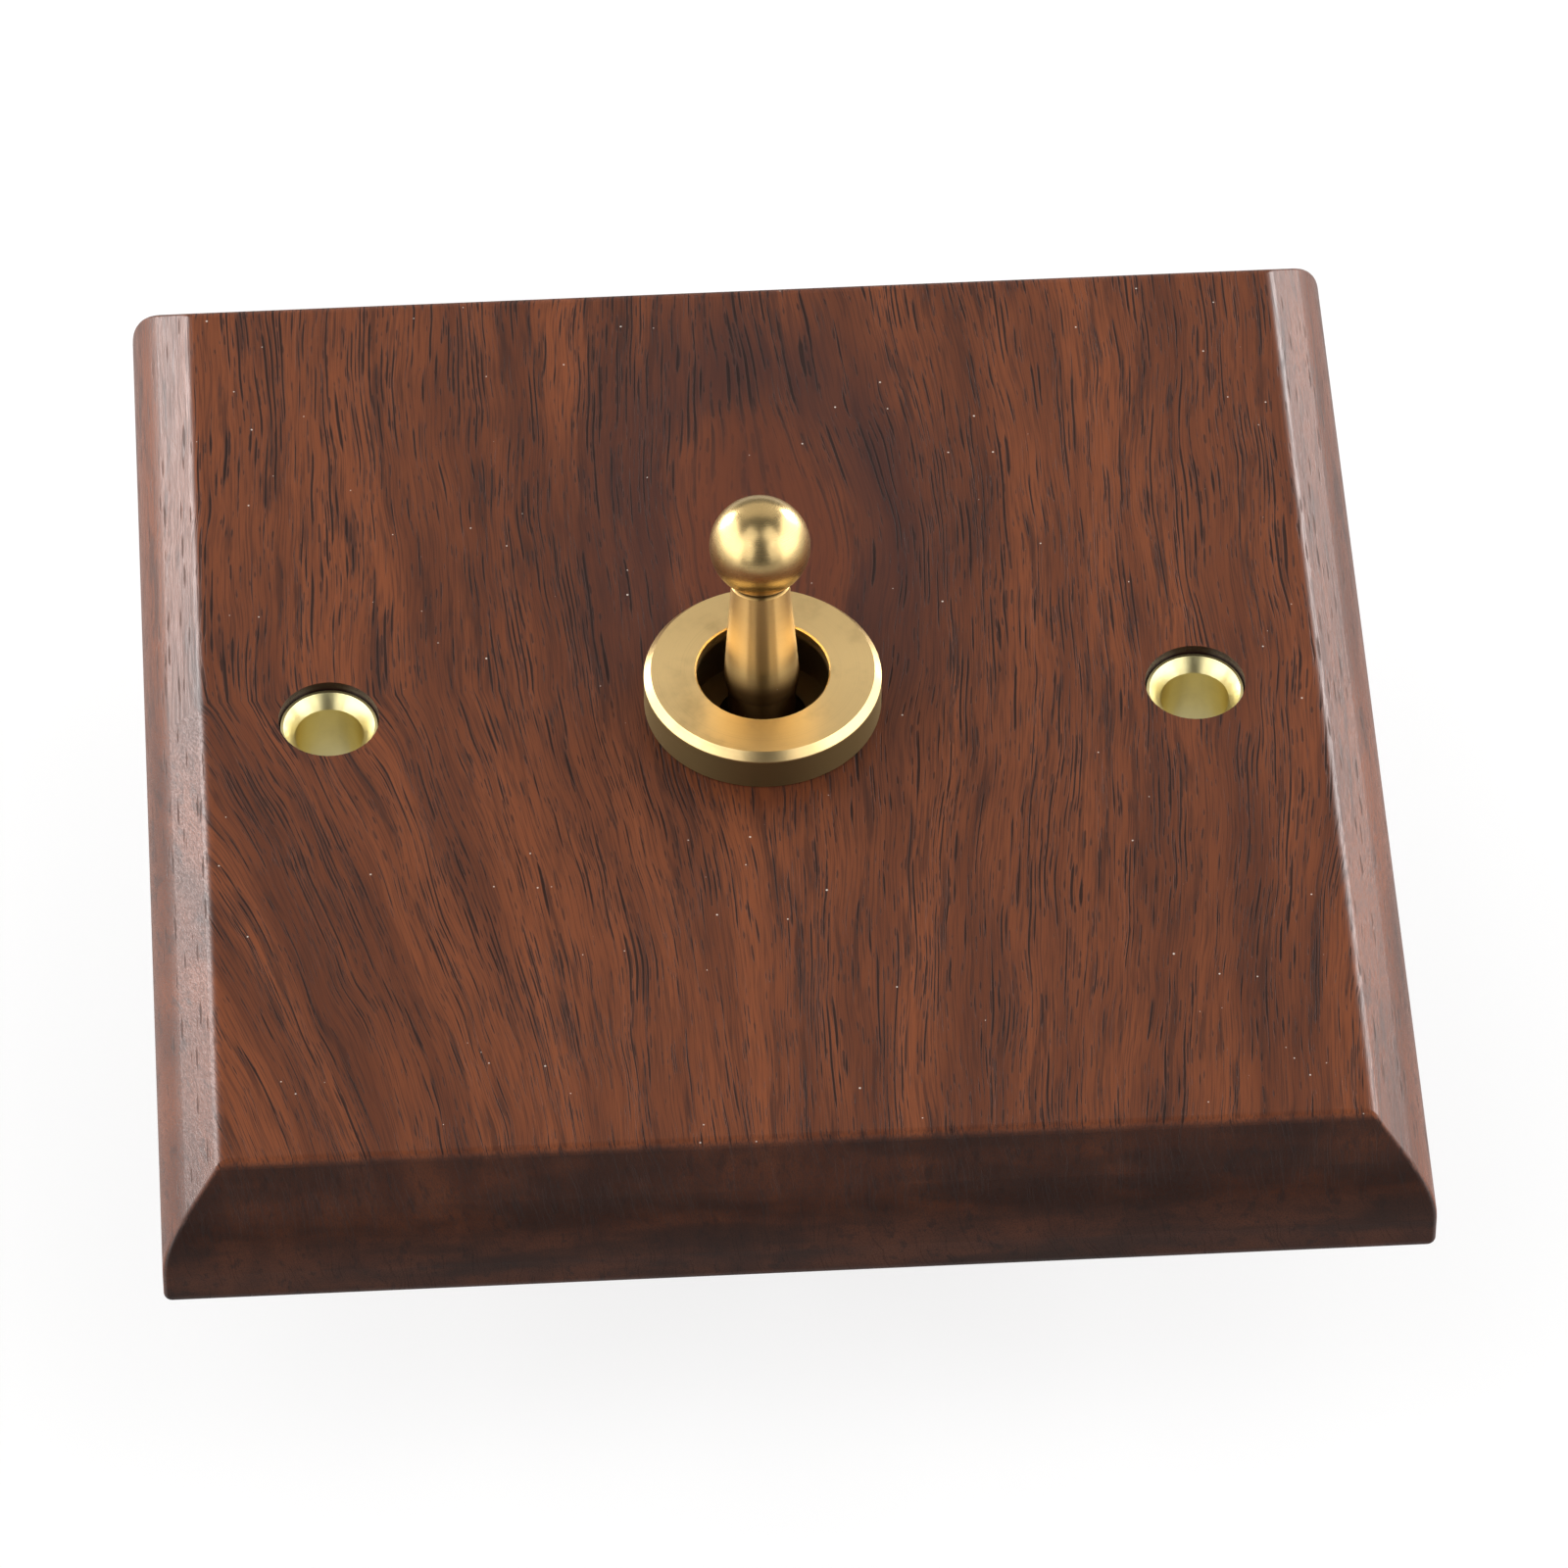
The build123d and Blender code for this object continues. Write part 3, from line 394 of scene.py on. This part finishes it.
def walnut_pores(look, grain, position, dark_streaks, core, bevel, end_grain):
    """Rows of slits on the faces, faint dashes on the side bevels, and little of either on end grain."""
    _, y, _ = look.split(position)
    rows = look.math("MULTIPLY", slit_mask(look, grain, dark_streaks, core, y), look.between(bevel, 1.0, 0.0))
    dashes = look.math("MULTIPLY", look.spindles(position, DASH_SIZE, DASH_RADIUS, DASH_SHARE), bevel)
    dashes = look.math("MULTIPLY", dashes, 0.6)
    return look.math("MULTIPLY", look.math("MAXIMUM", rows, dashes), look.between(end_grain, 1.0, 0.3))


def slits(look, grain, spacing, length, threshold):
    """Thin dark lines in rows along the grain, each row broken into dashes of about the given length."""
    x, y, z = look.split(grain)
    wander = look.noise(grain, SLIT_WANDER_SIZE, detail=1)
    across = look.math("DIVIDE", look.math("ADD", x, look.math("MULTIPLY", z, SLIT_SLANT)), spacing)
    phase = look.math("ADD", across, look.math("MULTIPLY", wander, SLIT_WANDER))
    row = look.math("FLOOR", phase)
    aside = look.math("ABSOLUTE", look.math("SUBTRACT", look.math("FRACT", phase), 0.5))
    along = look.join(look.math("MULTIPLY", row, ROW_OFFSET), look.math("DIVIDE", y, length),
                      look.math("DIVIDE", z, SLIT_DEPTH))
    strength = look.math("SUBTRACT", look.noise(along, (1, 1, 1), detail=1.5), threshold)
    half_width = look.math("MINIMUM", look.math("MULTIPLY", strength, 2.0), WIDEST_SLIT)
    return look.step(look.math("SUBTRACT", half_width, aside), -0.04, 0.10)


def slit_mask(look, grain, dark_streaks, core, y):
    """Long crowded slits above the middle, and short scattered ones below."""
    upper = look.step(y, -14.0, 6.0)
    crowd = look.step(look.noise(grain, CROWD_SIZE, detail=2), 0.40, 0.62)
    crowd = look.math("MAXIMUM", crowd, dark_streaks)
    packed = look.math("ADD", look.math("MULTIPLY", crowd, 0.11), look.math("MULTIPLY", upper, 0.05))
    long_ones = slits(look, grain, LONG_SLIT_SPACING, LONG_SLIT_LENGTH, look.math("SUBTRACT", 0.61, packed))
    scattered = look.math("SUBTRACT", 0.59, look.math("MULTIPLY", crowd, 0.09))
    short_ones = slits(look, grain, SHORT_SLIT_SPACING, SHORT_SLIT_LENGTH, scattered)
    both = look.math("MAXIMUM", long_ones, look.math("MULTIPLY", short_ones, 0.75))
    return look.math("MULTIPLY", both, look.math("SUBTRACT", 1.0, look.math("MULTIPLY", core, 0.6)))


def recess_shade_mask(look, position):
    """1 on the wood's walls inside the two ferrule holes, which are darkened there as painted shade."""
    x, y, z = look.split(position)
    low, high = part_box("right_screw_ferrule")
    hole_x = (low.x + high.x) / 2 / MM
    wall = (high.x - low.x) / 2 / MM + 0.25
    aside = look.math("SUBTRACT", look.math("ABSOLUTE", x), hole_x)
    square = look.math("ADD", look.math("MULTIPLY", aside, aside), look.math("MULTIPLY", y, y))
    inside = look.step(look.math("SQRT", square), wall + 0.1, wall)
    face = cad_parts["wood_faceplate"].bound_box[1][2] / MM
    return look.math("MULTIPLY", inside, look.step(z, face - 0.03, face - 0.1))


def turned_metal(name, colour, roughness, turn=(0, 0, 0), centre=(0, 0, 0), marks=0.02, tarnish=0.25,
                 dark="6A4A18", painted_shade_bands=(), sheen=0.5):
    """Lathe-turned metal: fine rings round the axis, faint tarnish, small scratches and bands of painted
    shade.

    Turn and centre say how the axis lies in the object. Marks is the depth of the rings.
    Sheen is how far its reflections are drawn out across the rings.
    Painted shade bands lists stretches along the axis painted dark and dull as shade and dark reflections:
    low end, high end, fade and depth."""
    look = Look(name, metallic=1.0)
    position = look.place(turn, centre)
    x, y, z = look.split(position)
    radius = look.math("SQRT", look.math("ADD", look.math("MULTIPLY", x, x), look.math("MULTIPLY", y, y)))
    lathe = look.join(radius, look.math("MULTIPLY", look.math("ARCTAN2", y, x), 0.6), z)
    rings = look.noise(lathe, (0.05, 6, 0.05), detail=3, roughness=0.7)
    blotches = look.noise(position, (3.5, 3.5, 3.5), detail=4, roughness=0.6)
    scratches = look.spindles(position, (1.6, 0.5, 0.9), 0.05, 0.7)
    tone = look.math("MULTIPLY", look.step(blotches, 0.45, 0.8), tarnish)
    # Painted shade: bands along the axis painted dark and made duller, standing in for shade and dark
    # reflections.
    for low, high, fade, depth in painted_shade_bands:
        shaded = look.math("MULTIPLY", look.step(z, low - fade, low), look.step(z, high + fade, high))
        tone = look.math("MAXIMUM", tone, look.math("MULTIPLY", shaded, depth))
    shade = look.mix(tone, colour, srgb(dark))
    shade = look.mix(look.math("MULTIPLY", look.step(rings, 0.5, 0.8), 0.10), shade, srgb(dark))
    look.set("Base Color", look.mix(look.math("MULTIPLY", scratches, 0.4), shade, srgb("FFF2CC")))
    look.set("Roughness", look.math("ADD", look.between(rings, roughness - 0.05, roughness + 0.06),
                                    look.math("MULTIPLY", tone, 0.3)))
    look.set("Normal", look.bump(rings, 0.25, marks))
    look.set("Anisotropic", sheen)
    look.set("Anisotropic Rotation", 0.25)
    look.set("Tangent", groove_direction(look, x, y, turn))
    return look.material


def groove_direction(look, x, y, turn):
    """The way the lathe's rings run at a point, in world coordinates."""
    groove = look.join(look.math("MULTIPLY", y, -1.0), x, 0.0)
    back = tuple(-angle for angle in turn)
    groove = look.node("ShaderNodeMapping", groove, (0, 0, 0), back, vector_type="VECTOR").outputs[0]
    return look.node("ShaderNodeVectorTransform", groove, vector_type="VECTOR", convert_from="OBJECT",
                     convert_to="WORLD").outputs[0]


def stamped_metal(name, colour, dark, roughness, grain=(0.06, 3.0, 0.06), tarnish=0.3):
    """Rolled and stamped sheet metal: fine rolling lines, faint spots and duller patches."""
    look = Look(name, metallic=1.0)
    position = look.place()
    lines = look.noise(position, grain, detail=3, roughness=0.6)
    patches = look.noise(position, (4, 4, 4), detail=4, roughness=0.6)
    spots = look.step(look.noise(position, (0.5, 0.5, 0.5), detail=2), 0.68, 0.78)
    dull = look.math("MULTIPLY", look.math("MAXIMUM", look.step(patches, 0.42, 0.75), spots), tarnish)
    look.set("Base Color", look.mix(dull, colour, dark))
    look.set("Roughness", look.math("ADD", look.between(lines, roughness - 0.06, roughness + 0.08),
                                    look.math("MULTIPLY", dull, 0.25)))
    look.set("Normal", look.bump(lines, 0.2, 0.02))
    return look.material


def moulded_plastic(name, colour, second, roughness):
    """Moulded plastic with a fine pebbled skin and slight filler mottling."""
    look = Look(name, ior=1.5)
    position = look.place()
    mottle = look.noise(position, (0.8, 0.8, 0.8), detail=4, roughness=0.7)
    skin = look.noise(position, (0.12, 0.12, 0.12), detail=2)
    look.set("Base Color", look.mix(look.step(mottle, 0.35, 0.7), colour, second))
    look.set("Roughness", look.between(mottle, roughness - 0.06, roughness + 0.08))
    look.set("Normal", look.bump(skin, 0.25, 0.015))
    return look.material


# The lever's pivot, and the turn that stands the leaning lever upright. Along its own axis the neck's
# foot carries a painted dark reflection and the crease under the ball painted shade; the ring nut's side wall
# carries a painted dark reflection too.
PIVOT = (0, 0, 5.4)
LEVER_TURN = (math.radians(12), 0, 0)
# Painted dark reflection on the ring nut's lower side wall.
RING_NUT_PAINTED_SHADE = [(9.0, 12.1, 0.25, 0.80)]
# Painted dark reflection at the neck's foot, and painted shade where the neck meets the ball.
NECK_PAINTED_SHADE = [(0.0, 5.6, 2.6, 0.92), (13.55, 16.0, 0.25, 0.65)]
# Painted shade in the crease under the ball.
KNOB_PAINTED_SHADE = [(13.0, 13.7, 0.5, 0.8)]


def dress(material, *nodes):
    """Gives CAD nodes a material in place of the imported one."""
    for name in nodes:
        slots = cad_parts[name].material_slots
        for slot in slots:
            slot.material = material


def dress_turned_brass():
    dress(turned_metal("brass_ring_nut", (0.95, 0.69, 0.32), 0.30, dark="3A2810", painted_shade_bands=RING_NUT_PAINTED_SHADE),
          "bezel_ring_nut")
    dress(turned_metal("brass_lever", (0.82, 0.54, 0.21), 0.29, LEVER_TURN, PIVOT, marks=0.006, tarnish=0.15,
                       dark="3A1F09", painted_shade_bands=NECK_PAINTED_SHADE, sheen=0.88), "toggle_lever")
    dress(turned_metal("brass_knob", (0.80, 0.57, 0.25), 0.27, LEVER_TURN, PIVOT, marks=0.006, tarnish=0.15,
                       dark="3E260C", painted_shade_bands=KNOB_PAINTED_SHADE, sheen=0.3), "ball_knob")
    for name in ("left_screw_ferrule", "right_screw_ferrule"):
        low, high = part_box(name)
        centre = ((low + high) / 2 / MM)[:]
        dress(turned_metal("brass_" + name, srgb("FBEDB0"), 0.30, centre=centre, tarnish=0.15,
                           dark="8A7A40"), name)
    dress(turned_metal("brass_bushing", srgb("8E7A58"), 0.42), "threaded_bushing")
    dress(turned_metal("brass_nut", srgb("D0AA60"), 0.34), "back_hex_nut")


def dress_sheet_metal():
    steel = stamped_metal("zinc_plated_steel", srgb("C9CCD0"), srgb("8E9094"), 0.34)
    dress(steel, "switch_frame", "locating_ring", "clamp_washers")
    dress(stamped_metal("tinned_brass", srgb("D2D0C8"), srgb("A39F90"), 0.38), "earth_tag")
    dress(stamped_metal("bright_steel", srgb("CDCED0"), srgb("909296"), 0.25), "lock_washer", "pivot_pin",
          "plunger_spring")
    dress(stamped_metal("nickel_screws", srgb("D6D2C8"), srgb("96918A"), 0.24), "terminal_screws")
    dress(stamped_metal("stamped_brass", srgb("E0BD6A"), srgb("9A7030"), 0.30), "common_terminal",
          "upper_terminal", "lower_terminal", "contact_rocker")
    dress(stamped_metal("contact_silver", srgb("E6E6E4"), srgb("A8A8A6"), 0.25), "upper_fixed_contact",
          "lower_fixed_contact", "moving_contacts")


def dress_insulators():
    dress(moulded_plastic("phenolic_black", srgb("1E1A18"), srgb("2B2420"), 0.38), "switch_housing",
          "terminal_base")
    dress(moulded_plastic("vulcanised_fibre", srgb("6E3A28"), srgb("5C2E20"), 0.6), "top_insulator")
    dress(moulded_plastic("natural_nylon", srgb("E4DDC8"), srgb("D6CDB4"), 0.4), "lever_plunger")


def make_lights():
    """Softboxes on both sides, strips behind and in front of them, and a dim warm card behind the plate."""
    for side in (-1, 1):
        area_light("side_softbox", (side * 0.8, -0.08, 0.39), (0, -0.08, 0.39), (1.4, 0.8), 2.4)
        area_light("back_wing", (side * 0.8, 0.87, 0.23), (0, 0.87, 0.23), (0.60, 0.5), 12.0)
        area_light("front_wing", (side * 0.62, -1.02, 0.62), (0, 0, 0.01), (0.5, 0.9), 1.2)
        area_light("top_wing", (side * 0.57, -0.45, 1.13), (0, 0, 0.01), (0.7, 0.9), 1.27)
    area_light("back_card", (0, 0.72, 0.62), (0, 0, 0), (1.1, 0.85), 0.52, colour=(1.0, 0.94, 0.86))


make_camera()
make_world()
make_floor()
make_lights()
dress(walnut(), "wood_faceplate")
dress_turned_brass()
dress_sheet_metal()
dress_insulators()
bpy.context.scene.view_settings.view_transform = "Standard"
